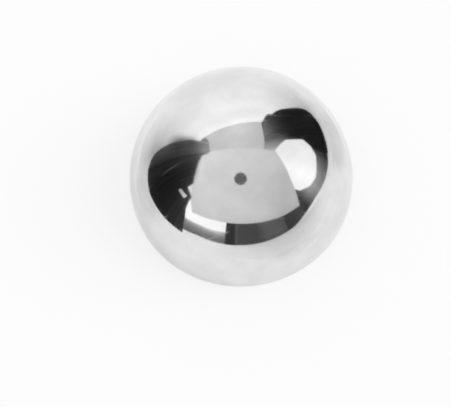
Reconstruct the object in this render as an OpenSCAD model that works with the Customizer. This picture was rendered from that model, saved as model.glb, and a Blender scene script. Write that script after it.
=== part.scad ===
/* [Dome] */
// Diameter of the dome, and of the round base that it stands on
dome_d = 50; // [10:1:100]

/* [Base] */
// Width of the 45 degree edge break between the flat base and the dome
edge_break = 0.3; // [0.1:0.1:1]

/* [Hidden] */
dome_r = dome_d / 2;
// Radius of the flat face that bears on the bench
seat_r = dome_r - edge_break;
$fn = 128;

// Half of a solid ball, standing on its flat: the origin is the middle of the base and the crown points up +Z.
module hemisphere() {
    color("silver")
        intersection() {
            sphere(r = dome_r);
            edge_break_cone();
        }
}

// Everything above the base plane, narrowed at 45 degrees where it meets the base.
// It is twice as tall as the dome, so its top stays clear of the crown.
module edge_break_cone() {
    cone_h = dome_d;
    cylinder(h = cone_h, r1 = seat_r, r2 = seat_r + cone_h);
}

hemisphere();
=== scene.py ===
import math

import bpy
from mathutils import Matrix, Vector


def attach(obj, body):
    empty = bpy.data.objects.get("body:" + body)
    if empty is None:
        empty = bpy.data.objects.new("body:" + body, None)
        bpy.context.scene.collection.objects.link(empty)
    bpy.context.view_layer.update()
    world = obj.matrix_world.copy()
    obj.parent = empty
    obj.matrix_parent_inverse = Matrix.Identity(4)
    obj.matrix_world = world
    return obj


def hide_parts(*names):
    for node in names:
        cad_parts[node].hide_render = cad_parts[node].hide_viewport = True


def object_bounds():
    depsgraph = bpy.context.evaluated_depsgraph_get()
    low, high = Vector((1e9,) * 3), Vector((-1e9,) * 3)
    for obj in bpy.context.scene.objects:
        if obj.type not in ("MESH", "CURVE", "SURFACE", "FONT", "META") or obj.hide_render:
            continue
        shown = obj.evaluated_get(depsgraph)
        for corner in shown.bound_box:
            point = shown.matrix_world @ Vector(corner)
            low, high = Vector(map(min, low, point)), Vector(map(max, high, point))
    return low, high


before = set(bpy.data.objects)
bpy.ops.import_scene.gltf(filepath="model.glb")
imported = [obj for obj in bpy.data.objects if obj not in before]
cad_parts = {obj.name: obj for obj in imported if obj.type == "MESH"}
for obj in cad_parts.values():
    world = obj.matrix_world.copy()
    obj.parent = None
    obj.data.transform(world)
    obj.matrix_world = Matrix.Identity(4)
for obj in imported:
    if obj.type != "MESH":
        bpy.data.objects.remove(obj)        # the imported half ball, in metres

MM = 0.001

# ---- The part, from the frame ----
CAD_NODE = "hemisphere"
BODY = "root"
CAD_LOW, CAD_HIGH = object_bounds()
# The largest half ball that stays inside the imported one's box
DOME_R = min(CAD_HIGH.x, CAD_HIGH.y, -CAD_LOW.x, -CAD_LOW.y, CAD_HIGH.z)
EDGE_BREAK = 0.3 * MM
FACE_CUTS = 95                # across each side of the starting cube: odd, so that a row lies on the base
BASE_FACING = -0.99           # the normals of the base's faces have a z below this
BREAK_FACING = -0.5           # and those of the base and its edge break, below this
CREASE = math.radians(30)     # the least angle that stays an edge in the shading

# ---- Polished steel ----
FILM_SCALE = 170.0            # soft patches about 6 mm across
FILM_GREYS = [(0.38, 0.735), (0.62, 0.8)]
HAZE_ROUGHNESS = (0.06, 0.09)
HAIRLINE_TURN = (0.3, 0.2, math.radians(35))
HAIRLINE_SCALE = (150.0, 2600.0, 150.0)      # about 7 mm long and 0.4 mm wide
HAIRLINE_STRENGTH = 0.02
SCUFF_ROUGHNESS = 0.12
MARK_DEPTH = 0.02 * MM        # of a hairline, and of a turning ring on the base

# ---- Ground steel ----
RING_SCALE = 900.0            # a ring about every 0.35 mm
RING_STRENGTH = 0.3
RING_ROUGHNESS = (0.26, 0.36)
CLOUD_SCALE = 110.0           # patches about 9 mm across
CLOUD_GREYS = [(0.3, 0.52), (0.7, 0.62)]

# ---- Camera ----
IMAGE_SIZE = (451, 407)
FOCAL_PX = 588.0
SENSOR_W = 36.0               # in millimetres, as the camera takes it
DOME_CENTRE_PX = (240.6, 178.8)
CAMERA_DISTANCE = 134.2 * MM
CLIP_START = 10 * MM
AXIS_ELEVATION = math.radians(69.0)
AXIS_ROLL = math.radians(-8.0)

# ---- Light ----
WORLD_LEVEL = 0.8             # what lights the scene from all round
WORLD_SHOWN = 0.975           # the same where the camera or the steel looks at it
KEY_SIGHT = (95, 32)          # where the key and the softbox are
KEY_SPREAD = math.radians(45)
KEY_STRENGTH = 1.2

# ---- Table ----
TABLE_SIZE = 8.0
TABLE_GREY = 0.6
TABLE_LIFT = 0.385            # what it adds to its own grey in the steel, to be white there
SHOWN_GREY = 0.25             # its own grey to the camera, lower so that the shadow on it is faint
SHOWN_LIFT = 0.729            # what it adds to that

# ---- Studio ----
FOLDS_A_METRE = 190.0
LENS_R = 12.5 * MM
LENS_SIDES = 24
LENS_GREY = 0.145
LENS_BEFORE_CARD = 1.0 * MM


# ======== Small helpers ========

def deselect():
    """Leaves nothing selected, so that an operator acts only on what is added next."""
    bpy.ops.object.select_all(action="DESELECT")


def select_base(piece):
    """In edit mode, selects just the faces of the flat base."""
    bpy.ops.mesh.select_all(action="DESELECT")
    bpy.ops.object.mode_set(mode="OBJECT")
    for face in piece.data.polygons:
        face.select = face.normal.z < BASE_FACING
    bpy.ops.object.mode_set(mode="EDIT")


def feed(tree, value, socket):
    """Links a socket into an input, or writes a plain value there."""
    if isinstance(value, bpy.types.NodeSocket):
        tree.links.new(value, socket)
    else:
        socket.default_value = value


def node(tree, kind, **inputs):
    """Adds a shader node and feeds its inputs."""
    made = tree.nodes.new(kind)
    for name, value in inputs.items():
        feed(tree, value, made.inputs[name.replace("_", " ")])
    return made


def maths(tree, operation, first, second):
    """The result of one operation on two values."""
    made = node(tree, "ShaderNodeMath")
    made.operation = operation
    feed(tree, first, made.inputs[0])
    feed(tree, second, made.inputs[1])
    return made.outputs["Value"]


def distance_along(tree, place, axis):
    """How far a place lies along an axis."""
    made = node(tree, "ShaderNodeVectorMath", Vector=place)
    made.operation = "DOT_PRODUCT"
    made.inputs[1].default_value = axis
    return made.outputs["Value"]


def grey(level):
    """A colour with all its parts at one level."""
    return (level, level, level, 1.0)


def ramp(tree, factor, stops):
    """A colour ramp of greys: stops are (place, level) pairs."""
    made = node(tree, "ShaderNodeValToRGB", Fac=factor)
    elements = made.color_ramp.elements
    while len(elements) < len(stops):
        elements.new(0.5)
    for element, (place, level) in zip(elements, stops):
        element.position = place
        element.color = grey(level)
    return made.outputs["Color"]


def new_material(name):
    """An empty node material, its tree and the socket that its surface goes into."""
    material = bpy.data.materials.new(name)
    material.use_nodes = True
    tree = material.node_tree
    tree.nodes.clear()
    return material, tree, tree.nodes.new("ShaderNodeOutputMaterial").inputs["Surface"]


# ======== Steel ========

def polished_steel():
    """Mirror polish: a little haze in soft patches and hairlines left by the last buff."""
    material, tree, surface = new_material("polished_steel")
    place = node(tree, "ShaderNodeTexCoord").outputs["Object"]

    film = node(tree, "ShaderNodeTexNoise", Vector=place, Scale=FILM_SCALE, Detail=3.0, Roughness=0.55)
    colour = ramp(tree, film.outputs["Fac"], FILM_GREYS)
    haze = node(tree, "ShaderNodeMapRange", Value=film.outputs["Fac"],
                From_Min=0.35, From_Max=0.7, To_Min=HAZE_ROUGHNESS[0], To_Max=HAZE_ROUGHNESS[1])

    drawn_out = node(tree, "ShaderNodeMapping", Vector=place, Rotation=HAIRLINE_TURN, Scale=HAIRLINE_SCALE)
    hairline = node(tree, "ShaderNodeTexNoise", Vector=drawn_out.outputs["Vector"],
                    Scale=1.0, Detail=2.0, Roughness=0.6)
    scuff = node(tree, "ShaderNodeMapRange", Value=hairline.outputs["Fac"],
                 From_Min=0.6, From_Max=0.75, To_Min=0.0, To_Max=SCUFF_ROUGHNESS)
    bump = node(tree, "ShaderNodeBump", Strength=HAIRLINE_STRENGTH, Distance=MARK_DEPTH,
                Height=hairline.outputs["Fac"])

    shader = node(tree, "ShaderNodeBsdfPrincipled", Base_Color=colour, Metallic=1.0,
                  Roughness=maths(tree, "ADD", haze.outputs["Result"], scuff.outputs["Result"]),
                  Normal=bump.outputs["Normal"])
    tree.links.new(shader.outputs["BSDF"], surface)
    return material


def ground_steel():
    """The base and its edge break: faced in a lathe, so it has fine rings and a dull sheen."""
    material, tree, surface = new_material("ground_steel")
    place = node(tree, "ShaderNodeTexCoord").outputs["Object"]

    rings = node(tree, "ShaderNodeTexWave", Vector=place, Scale=RING_SCALE, Distortion=1.5,
                 Detail=2.0, Detail_Scale=0.4)
    rings.wave_type = "RINGS"
    rings.rings_direction = "Z"
    cloud = node(tree, "ShaderNodeTexNoise", Vector=place, Scale=CLOUD_SCALE, Detail=4.0)
    sheen = node(tree, "ShaderNodeMapRange", Value=rings.outputs["Fac"],
                 To_Min=RING_ROUGHNESS[0], To_Max=RING_ROUGHNESS[1])
    bump = node(tree, "ShaderNodeBump", Strength=RING_STRENGTH, Distance=MARK_DEPTH,
                Height=rings.outputs["Fac"])

    shader = node(tree, "ShaderNodeBsdfPrincipled", Metallic=1.0,
                  Base_Color=ramp(tree, cloud.outputs["Fac"], CLOUD_GREYS),
                  Roughness=sheen.outputs["Result"], Normal=bump.outputs["Normal"])
    tree.links.new(shader.outputs["BSDF"], surface)
    return material


# ======== The half ball ========

def half_ball():
    """A finely cut cube drawn out to a ball, cut off flat at its middle, with the rim broken."""
    deselect()
    bpy.ops.mesh.primitive_cube_add(size=2 * DOME_R, location=(0, 0, 0))
    piece = bpy.context.object
    piece.name = "polished_half_ball"
    piece.data.name = piece.name
    bpy.ops.object.mode_set(mode="EDIT")
    bpy.ops.mesh.subdivide(number_cuts=FACE_CUTS)
    bpy.ops.object.mode_set(mode="OBJECT")

    to_ball = piece.modifiers.new("to_ball", "CAST")
    to_ball.cast_type = "SPHERE"
    to_ball.factor = 1.0
    to_ball.size = DOME_R
    to_ball.use_radius_as_size = False
    bpy.ops.object.modifier_apply(modifier=to_ball.name)

    bpy.ops.object.mode_set(mode="EDIT")
    bpy.ops.mesh.select_all(action="SELECT")
    bpy.ops.mesh.bisect(plane_co=(0, 0, 0), plane_no=(0, 0, 1), clear_inner=True, use_fill=True)
    select_base(piece)
    bpy.ops.mesh.region_to_loop()
    bpy.ops.mesh.bevel(offset=EDGE_BREAK, offset_type="OFFSET", segments=1, affect="EDGES")
    select_base(piece)
    bpy.ops.mesh.poke()
    bpy.ops.mesh.select_all(action="SELECT")
    bpy.ops.mesh.normals_make_consistent(inside=False)
    bpy.ops.object.mode_set(mode="OBJECT")
    bpy.ops.object.shade_smooth_by_angle(angle=CREASE)

    piece.data.materials.append(polished_steel())
    piece.data.materials.append(ground_steel())
    for face in piece.data.polygons:
        face.material_index = 1 if face.normal.z < BREAK_FACING else 0
    return piece


# ======== Camera ========

def camera():
    """Looks down on the dome from the front, a little rolled, with the dome above the picture's middle."""
    level_up = Vector((0, math.sin(AXIS_ELEVATION), math.cos(AXIS_ELEVATION)))
    level_right = Vector((1, 0, 0))
    forward = Vector((0, math.cos(AXIS_ELEVATION), -math.sin(AXIS_ELEVATION)))
    right = math.cos(AXIS_ROLL) * level_right + math.sin(AXIS_ROLL) * level_up
    up = math.cos(AXIS_ROLL) * level_up - math.sin(AXIS_ROLL) * level_right

    aside = (DOME_CENTRE_PX[0] - IMAGE_SIZE[0] / 2) / FOCAL_PX
    above = (IMAGE_SIZE[1] / 2 - DOME_CENTRE_PX[1]) / FOCAL_PX
    sight = (aside * right + above * up + forward).normalized()

    data = bpy.data.cameras.new("camera")
    data.sensor_width = SENSOR_W
    data.lens = FOCAL_PX * SENSOR_W / IMAGE_SIZE[0]
    data.clip_start = CLIP_START
    made = bpy.data.objects.new("camera", data)
    bpy.context.scene.collection.objects.link(made)
    turn = Matrix((right, up, -forward)).transposed().to_4x4()
    made.matrix_world = Matrix.Translation(-CAMERA_DISTANCE * sight) @ turn
    bpy.context.scene.camera = made


# ======== Studio ========
#
# Flat cards outside the shot, which only the steel mirrors. A sight is (azimuth, elevation) in degrees from
# the dome: azimuth 0 is behind it and 90 to its right. A stop is (azimuth, elevation, level), and the level
# of a glow is 1 at white.

def toward(azimuth, elevation):
    """The direction of a sight."""
    turn = math.radians(azimuth)
    lift = math.radians(elevation)
    return Vector((math.cos(lift) * math.sin(turn), math.cos(lift) * math.cos(turn), math.sin(lift)))


def spot_mirroring(direction):
    """The spot of the dome where the camera sees what lies in that direction."""
    eye = bpy.context.scene.camera.matrix_world.translation
    spot = Vector((0, 0, DOME_R))
    for _ in range(5):        # more rounds would hardly move it
        spot = DOME_R * (direction + (eye - spot).normalized()).normalized()
    return spot


def row(elevation, *stops):
    """Stops at one elevation, from (azimuth, level) pairs."""
    return [(azimuth, elevation, level) for azimuth, level in stops]


def column(azimuth, *stops):
    """Stops at one azimuth, from (elevation, level) pairs."""
    return [(azimuth, elevation, level) for elevation, level in stops]


def levels_along(tree, place, axis, stops):
    """Greys along an axis, from (point, level) stops in their order."""
    reach = [axis.dot(point) for point, level in stops]
    share = [(at - reach[0]) / (reach[-1] - reach[0]) for at in reach]
    factor = node(tree, "ShaderNodeMapRange", Value=distance_along(tree, place, axis),
                  From_Min=reach[0], From_Max=reach[-1])
    return ramp(tree, factor.outputs["Result"], [(at, level) for at, (point, level) in zip(share, stops)])


def fold_shaded(tree, place, right, tone, depth):
    """A tone with upright bands of painted light and shade, like those on each soft upright fold of hung
    cloth.
    """
    wave = node(tree, "ShaderNodeTexNoise", Scale=FOLDS_A_METRE, Detail=2.0)
    wave.noise_dimensions = "1D"
    tree.links.new(distance_along(tree, place, right), wave.inputs["W"])
    shade = node(tree, "ShaderNodeMapRange", Value=wave.outputs["Fac"], From_Min=0.3, From_Max=0.7,
                 To_Min=1.0 - depth, To_Max=1.0 + depth)
    mixed = node(tree, "ShaderNodeVectorMath", Vector=tone)
    mixed.operation = "SCALE"
    tree.links.new(shade.outputs["Result"], mixed.inputs["Scale"])
    return mixed.outputs["Vector"]


def only_mirrored(name, corners, material):
    """A flat studio piece that shows in the steel and nowhere else."""
    deselect()
    bpy.ops.mesh.primitive_circle_add(vertices=len(corners), radius=1.0, fill_type="NGON")
    made = bpy.context.object
    made.name = name
    for vertex, corner in zip(made.data.vertices, corners):
        vertex.co = corner
    made.data.materials.append(material)
    made.visible_camera = False
    made.visible_diffuse = False
    made.visible_shadow = False
    made.visible_transmission = False
    made.visible_volume_scatter = False


def card(name, facing, distance, outline, across, up=None, veil=None, fold_shade=0.0):
    """A flat card that glows, square to the sight facing, at a distance in metres.

    The outline is the sights of its corners. Across is its grey, or the stops of its greys from left to
    right, and up has stops that scale them from bottom to top. A veil is two such lists, across and up, whose
    product is the share that the card hides of what lies behind it. The last argument is how far upright
    bands of painted light and shade, like those on each soft upright fold of hung cloth, change its greys.
    """
    normal = toward(*facing)
    right = toward(facing[0] + 90, 0)
    above = right.cross(normal)

    def seen(azimuth, elevation):
        direction = toward(azimuth, elevation)
        spot = spot_mirroring(direction)
        return spot + direction * (distance - normal.dot(spot)) / normal.dot(direction)

    material, tree, surface = new_material(name)
    place = node(tree, "ShaderNodeTexCoord").outputs["Object"]

    def levels(axis, stops):
        points = [(seen(azimuth, elevation), level) for azimuth, elevation, level in stops]
        return levels_along(tree, place, axis, points)

    tone = grey(across) if isinstance(across, float) else levels(right, across)
    if fold_shade:
        tone = fold_shaded(tree, place, right, tone, fold_shade)
    glow = node(tree, "ShaderNodeEmission", Color=tone, Strength=levels(above, up) if up else 1.0)
    shown = glow.outputs["Emission"]
    if veil:
        hidden = maths(tree, "MULTIPLY", levels(right, veil[0]), levels(above, veil[1]))
        clear = node(tree, "ShaderNodeBsdfTransparent")
        mixed = node(tree, "ShaderNodeMixShader", Fac=hidden)
        tree.links.new(clear.outputs["BSDF"], mixed.inputs[1])
        tree.links.new(shown, mixed.inputs[2])
        shown = mixed.outputs["Shader"]
    tree.links.new(shown, surface)
    only_mirrored(name, [seen(*sight) for sight in outline], material)


def dimmer(name, facing, distance, outline, across, up):
    """A card without a glow, which only dims what lies behind it as painted shade: across and up are its
    veil.
    """
    card(name, facing, distance, outline, 0.0, veil=(across, up))


def backdrop():
    """White paper hung behind, brightest at its top."""
    card("backdrop", facing=(-8, 0), distance=0.6,
         outline=[(-64, -3), (52, -3), (46, 30), (38.5, 51.5), (-50, 53), (-60, 45)],
         across=row(0, (-64, 1.03), (-30, 1.03), (0, 1.04), (22, 1.02), (44, 1.03)),
         up=column(-8, (-3, 0.97), (8, 0.94), (20, 1.0), (40, 1.08), (48, 1.06), (59, 1.22)))


def ceiling():
    """The grey of the room over the backdrop, up to the lens card."""
    card("ceiling", facing=(0, 90), distance=0.9,
         outline=[(-52, 50.1), (38.1, 50.0), (60, 48), (114.6, 64.3), (-113, 62.9)],
         across=[(-90, 62.5, 0.72), (-60, 75, 0.77), (0, 85, 0.83), (60, 75, 0.77), (90, 63, 0.67)],
         up=column(0, (58, 1.0), (66, 1.0), (76, 0.93)))


def right_flag():
    """A dark flag on the right, which fades towards the ceiling and is lit at the softbox."""
    card("right_flag", facing=(62, 0), distance=0.21,
         outline=[(79.5, -6), (79.5, 30), (90, 65.5), (80, 65.4), (62, 61.6), (47.5, 56.6), (41, 52.8),
                  (38.5, 50.3), (37.1, 43), (37.3, 39), (40.3, 36.2), (40.8, 30), (42, 24.9), (44.4, 17.3),
                  (47.2, 4.7), (48.8, 0), (52, -3.5), (61, -6)],
         across=row(0, (37, 0.022), (46, 0.0205), (51, 0.019), (57, 0.016), (64, 0.0135), (79, 0.0135)),
         up=column(62, (-6, 1.0), (28, 1.0), (36, 1.5), (42, 2.4), (47, 4.2), (52, 7.6), (57, 11.0),
                   (63, 16.0)),
         fold_shade=0.35)
    card("flag_edge", facing=(50, 0), distance=0.2,
         outline=[(37.8, 50.3), (38.9, 49.8), (52, 57.6), (51, 58.2)], across=0.02,
         veil=([(38, 50, 0.9), (44, 54, 0.8), (52, 58, 0.0)], column(45, (49, 1.0), (58, 1.0))))
    card("flag_glow", facing=(74, 0), distance=0.2,
         outline=[(63, 36), (90, 36), (90, 66.5), (63, 64)], across=0.6,
         veil=(row(50, (63, 0.0), (68, 0.11), (72, 0.25), (76, 0.42), (80, 0.55), (84, 0.78), (87, 1.0)),
               column(75, (36, 0.0), (40, 0.35), (44, 0.6), (48, 0.9), (52, 1.0), (64, 1.0))))


def flag_shades():
    """The shade that the flag throws on the backdrop beside it and on the table before it."""
    beside = [(18, 0.0), (28, 0.06), (32, 0.12), (36, 0.17), (40, 0.24), (44, 0.33), (48, 0.4)]
    dimmer("flag_shade", facing=(62, 0), distance=0.0505,
           outline=[(18, -2), (58, -2), (58, 44), (18, 44)],
           across=row(0, *beside, (51, 0.35), (57, 0.0)),
           up=column(62, (-1, 0.0), (3, 1.0), (14, 0.95), (22, 0.75), (32, 0.4), (42, 0.0)))
    dimmer("flag_foot", facing=(62, 0), distance=0.05,
           outline=[(18, -13), (40, -19), (62, -21), (84, -19), (106, -13), (106, 3), (18, 3)],
           across=row(0, *beside, (56, 0.4), (66, 0.37), (74, 0.33), (84, 0.2), (95, 0.07), (105, 0.0)),
           up=column(62, (-21, 0.0), (-16, 0.27), (-12, 0.45), (-8, 0.65), (-4, 0.95), (-1, 1.0), (3, 0.0)))


def right_wall():
    """The wall beyond the flag, lightest in its middle."""
    card("right_wall", facing=(100, 0), distance=0.25,
         outline=[(74, -6), (88, -3.8), (95.7, -3), (105.3, -0.6), (114.8, 1.6), (123.1, 1.6), (131.5, 0.6),
                  (131.5, 40), (74, 40)],
         across=row(0, (74, 0.012), (79, 0.012), (82, 0.035), (86, 0.1), (90, 0.155), (98, 0.27), (108, 0.34),
                    (115, 0.24), (120, 0.11), (125, 0.036), (131, 0.06)),
         up=column(100, (-3, 0.95), (4, 1.0), (12, 1.35)))


def front_side():
    """The end of the room behind the camera: a dim wall, a dark post, and a bright window over a sill."""
    card("front_wall", facing=(160, 0), distance=0.6,
         outline=[(131, 0.6), (140, -1.2), (148, -2), (193, -2.5), (193, 30), (131, 30)],
         across=row(0, (131, 0.075), (140, 0.06), (147, 0.052), (147.6, 0.1), (155, 0.12), (166, 0.115),
                    (173, 0.07), (186, 0.08), (190.5, 0.085), (191.3, 0.13), (192, 0.1)),
         fold_shade=0.08)
    card("post", facing=(197, 0), distance=0.6,
         outline=[(192, -2.5), (201, -2.5), (201, 30), (192, 30)],
         across=row(0, (192, 0.1), (193, 0.045), (196, 0.035), (198, 0.05), (199, 0.035), (201, 0.06)))
    card("window", facing=(220, 0), distance=0.59,
         outline=[(201, 12.2), (213, 11), (224, 10.6), (239, 7.5), (245, 8), (245, 33), (201, 33)],
         across=row(0, (201, 1.2), (245, 1.25)))
    card("sill", facing=(220, 0), distance=0.6,
         outline=[(201, -2.5), (226, -2.5), (240, -6), (243, 15), (201, 15)],
         across=row(0, (201, 0.8), (210, 1.0), (240, 1.2)),
         up=column(220, (-1.5, 0.3), (0.5, 0.19), (4, 0.24), (7.5, 0.36), (10.5, 0.64)),
         fold_shade=0.25)


def front_shades():
    """The table dimmer before the far end of the room: a dim card by the sill, and a veil of painted shade
    nearer the dome.
    """
    card("sill_foot", facing=(232, 0), distance=0.12,
         outline=[(221, -0.8), (230, -3), (241, -6.2), (241, 0.5), (221, 0.5)],
         across=row(0, (221, 0.21), (241, 0.17)))
    dimmer("front_foot", facing=(150, 0), distance=0.036,
           outline=[(100, -15), (118, -20), (134, -26), (150, -29), (166, -26), (182, -20), (204, -15),
                    (204, 2.5), (100, 2.5)],
           across=row(0, (100, 0.0), (106, 0.2), (112, 0.3), (118, 0.53), (124, 0.78), (132, 1.0), (165, 1.0),
                      (178, 0.8), (190, 0.4), (203, 0.0)),
           up=column(150, (-29, 0.0), (-24, 0.09), (-18, 0.15), (-12, 0.2), (-8, 0.24), (-4, 0.31),
                     (-1, 0.36), (2.5, 0.0)))


def table_shades():
    """Three soft patches at the foot of the dome, where less light falls on the table."""
    for name, azimuth, top, share in (("cloth_base", -84, -14, 0.16), ("flag_base", 66, -10, 0.17),
                                      ("front_base", 146, -20, 0.1)):
        left = azimuth - 26
        right = azimuth + 26
        dimmer(name, facing=(azimuth, 0), distance=0.0305,
               outline=[(left, top), (left, -30), (azimuth - 14, -37), (azimuth, -40), (azimuth + 14, -37),
                        (right, -30), (right, top)],
               across=row(-20, (left + 1, 0.0), (azimuth - 12, share), (azimuth + 12, share),
                          (right - 1, 0.0)),
               up=column(azimuth, (-40, 0.0), (-34, 0.5), (-28.5, 1.0), (top - 8, 1.0), (top, 0.0)))


def left_cloth():
    """A dark cloth hung close on the left, which fades towards the ceiling, with painted light on a fold, and
    the painted shade about it.
    """
    card("left_cloth", facing=(-78, 0), distance=0.073,
         outline=[(-124, -10), (-100, -15), (-85, -15), (-77, -13), (-71, -10.5), (-66.7, -6.2),
                  (-63.8, -1.1), (-61.5, 8.7), (-59.2, 20.6), (-58, 32), (-56, 40), (-55.7, 49.7),
                  (-50.5, 51.9), (-48.4, 54), (-51, 57.2), (-57, 59.6), (-68, 61.8), (-72.3, 64),
                  (-77.4, 55.2), (-86, 51.2), (-94, 47.8), (-101, 43.5), (-107.5, 38.4), (-106.4, 31.5),
                  (-111.8, 30.5), (-116.6, 28.5), (-116.8, 24), (-118.2, 16), (-121.5, 6.8)],
         across=row(0, (-124, 0.05), (-112, 0.03), (-98, 0.021), (-86, 0.022), (-76, 0.04), (-67, 0.075),
                    (-58, 0.08)),
         up=column(-78, (-12, 1.0), (16, 1.0), (28, 1.3), (40, 2.0), (47, 2.8), (53, 3.8), (60, 4.3)),
         fold_shade=0.3)
    # Painted light: a lighter grey over the cloth's lower right part, where a fold catches light.
    card("cloth_fold_light", facing=(-78, 0), distance=0.0725,
         outline=[(-72, -9), (-66.8, -6), (-63.8, -1.1), (-61.4, 8.7), (-59.1, 20.6), (-58.3, 28), (-72, 28)],
         across=0.25,
         veil=(row(4, (-72, 0.0), (-70, 0.08), (-68, 0.27), (-66, 0.42), (-64, 0.5), (-61, 0.7)),
               column(-78, (-9, 1.0), (14, 1.0), (28, 0.0))))
    # Painted shade: a grey band along the cloth's right edge, which softens it into the backdrop.
    card("cloth_edge_shade", facing=(-55, 0), distance=0.072,
         outline=[(-62, 12), (-44, 12), (-44, 50), (-62, 50)], across=0.12,
         veil=(row(32, (-62, 0.5), (-60, 0.9), (-58, 0.85), (-56, 0.67), (-54, 0.37), (-52, 0.12),
                   (-50, 0.0)),
               column(-55, (12, 0.0), (24, 0.8), (30, 1.0), (42, 0.95), (46, 0.3), (49, 0.0))))
    dimmer("cloth_shade", facing=(-66, 0), distance=0.036,
           outline=[(-112, -15), (-92, -22), (-80, -27), (-66, -29), (-52, -27), (-40, -22), (-22, -15),
                    (-22, 56), (-66, 58), (-112, 40)],
           across=row(0, (-110, 0.0), (-98, 0.25), (-88, 0.4), (-76, 0.45), (-66, 0.54), (-62, 0.52),
                      (-60, 0.47), (-58, 0.41), (-54, 0.29), (-50, 0.2), (-46, 0.12), (-42, 0.07),
                      (-34, 0.02), (-25, 0.0)),
           up=column(-66, (-29, 0.0), (-24, 0.3), (-18, 0.52), (-12, 0.65), (-8, 0.75), (-4, 0.95), (0, 1.0),
                     (30, 1.0), (44, 0.95), (50, 0.75), (57, 0.0)))


def stand_and_lamp():
    """A thin stand and a small lamp before the cloth."""
    card("stand", facing=(-80, 0), distance=0.068,
         outline=[(-82.6, 7), (-81.9, 7), (-79.2, 35), (-80.0, 35)], across=0.25,
         up=column(-80, (7, 0.2), (20, 1.0), (35, 0.5)))
    card("small_lamp", facing=(-107, 0), distance=0.06,
         outline=[(-111.1, 21.7), (-102, 21.4), (-102.6, 24.6), (-112.1, 25.6)],
         across=row(0, (-112, 0.85), (-102, 0.6)))


def softbox():
    """A white octagon on the right, before the flag."""
    card("softbox", facing=KEY_SIGHT, distance=0.19,
         outline=[(76, 48), (72.8, 42.5), (73.6, 24), (79, 17), (85, 12.2), (93.5, 11.2), (102, 9.9),
                  (111.1, 13.6), (119.9, 21.1), (124, 30), (110, 60), (84, 54.5)],
         across=row(30, (72, 1.02), (90, 1.12), (105, 1.25), (122, 1.15)),
         up=column(95, (11, 0.97), (25, 1.02), (50, 0.98)))


def lens_card():
    """The pale card that the camera looks through."""
    view = bpy.context.scene.camera.matrix_world
    card("lens_card", facing=(180, math.degrees(AXIS_ELEVATION)),
         distance=view.col[2].to_3d().dot(view.translation),
         outline=[(-74.7, 53.8), (-107, 38.2), (-114.5, 29.2), (-124.7, 17.4), (166.9, 20.7), (146, 16.2),
                  (129.3, 12.4), (117.4, 34.7), (88, 55), (85, 63), (-71, 63)],
         across=[(120, 40, 0.63), (110, 55, 0.68), (100, 70, 0.72), (180, 72, 0.77), (-110, 65, 0.81),
                 (-100, 50, 0.80), (-110, 30, 0.73)],
         up=[(180, 18, 0.86), (180, 30, 0.95), (180, 60, 1.0), (0, 85, 1.08)])


def lens():
    """The dark round of the lens, at the middle of its card."""
    view = bpy.context.scene.camera.matrix_world
    right, up, back = (view.col[axis].to_3d() for axis in range(3))
    centre = view.translation - back * LENS_BEFORE_CARD
    turns = [2 * math.pi * number / LENS_SIDES for number in range(LENS_SIDES)]
    rim = [centre + LENS_R * (right * math.cos(turn) + up * math.sin(turn)) for turn in turns]

    material, tree, surface = new_material("lens")
    glow = node(tree, "ShaderNodeEmission", Color=grey(LENS_GREY), Strength=1.0)
    tree.links.new(glow.outputs["Emission"], surface)
    only_mirrored("lens", rim, material)


def studio():
    """All that the steel mirrors besides the table."""
    backdrop()
    ceiling()
    right_flag()
    flag_shades()
    right_wall()
    front_side()
    front_shades()
    table_shades()
    left_cloth()
    stand_and_lamp()
    softbox()
    lens_card()
    lens()


# ======== Table and light ========

def looked_at(tree):
    """1 where the camera looks, or the steel, and 0 where only light is gathered."""
    ray = node(tree, "ShaderNodeLightPath").outputs
    seen = maths(tree, "MAXIMUM", ray["Is Camera Ray"], ray["Is Glossy Ray"])
    return maths(tree, "MAXIMUM", seen, ray["Is Transmission Ray"])


def table():
    """A plain pale table top, wide enough to be the background.

    Its own colour is a light grey. To the camera and in the steel it is lifted to white. It keeps its shadow.
    """
    deselect()
    bpy.ops.mesh.primitive_plane_add(size=TABLE_SIZE, location=(0, 0, 0))
    made = bpy.context.object
    made.name = "floor"

    material, tree, surface = new_material("pale_table")
    to_camera = node(tree, "ShaderNodeLightPath").outputs["Is Camera Ray"]
    own = node(tree, "ShaderNodeMapRange", Value=to_camera, To_Min=TABLE_GREY, To_Max=SHOWN_GREY)
    top = node(tree, "ShaderNodeBsdfDiffuse", Color=own.outputs["Result"], Roughness=0.0)
    mirrored = node(tree, "ShaderNodeMapRange", Value=looked_at(tree), To_Max=TABLE_LIFT)
    lift = node(tree, "ShaderNodeMapRange", Value=to_camera, To_Min=mirrored.outputs["Result"],
                To_Max=SHOWN_LIFT)
    glow = node(tree, "ShaderNodeEmission", Color=grey(1.0), Strength=lift.outputs["Result"])
    both = node(tree, "ShaderNodeAddShader")
    tree.links.new(top.outputs["BSDF"], both.inputs[0])
    tree.links.new(glow.outputs["Emission"], both.inputs[1])
    tree.links.new(both.outputs["Shader"], surface)
    made.data.materials.append(material)


def light():
    """Even pale light from all round, and a soft key from the softbox's side."""
    world = bpy.data.worlds.new("world")
    world.use_nodes = True
    tree = world.node_tree
    level = node(tree, "ShaderNodeMapRange", Value=looked_at(tree), To_Min=WORLD_LEVEL, To_Max=WORLD_SHOWN)
    background = tree.nodes["Background"]
    background.inputs["Color"].default_value = grey(1.0)
    tree.links.new(level.outputs["Result"], background.inputs["Strength"])
    bpy.context.scene.world = world

    data = bpy.data.lights.new("key", "SUN")
    data.angle = KEY_SPREAD
    data.energy = KEY_STRENGTH
    key = bpy.data.objects.new("key", data)
    bpy.context.scene.collection.objects.link(key)
    key.matrix_world = toward(*KEY_SIGHT).to_track_quat("Z", "Y").to_matrix().to_4x4()
    key.visible_glossy = False


# ======== Build ========

ball = half_ball()
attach(ball, BODY)
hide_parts(CAD_NODE)

camera()
table()
studio()
light()

bpy.context.scene.view_settings.view_transform = "Standard"
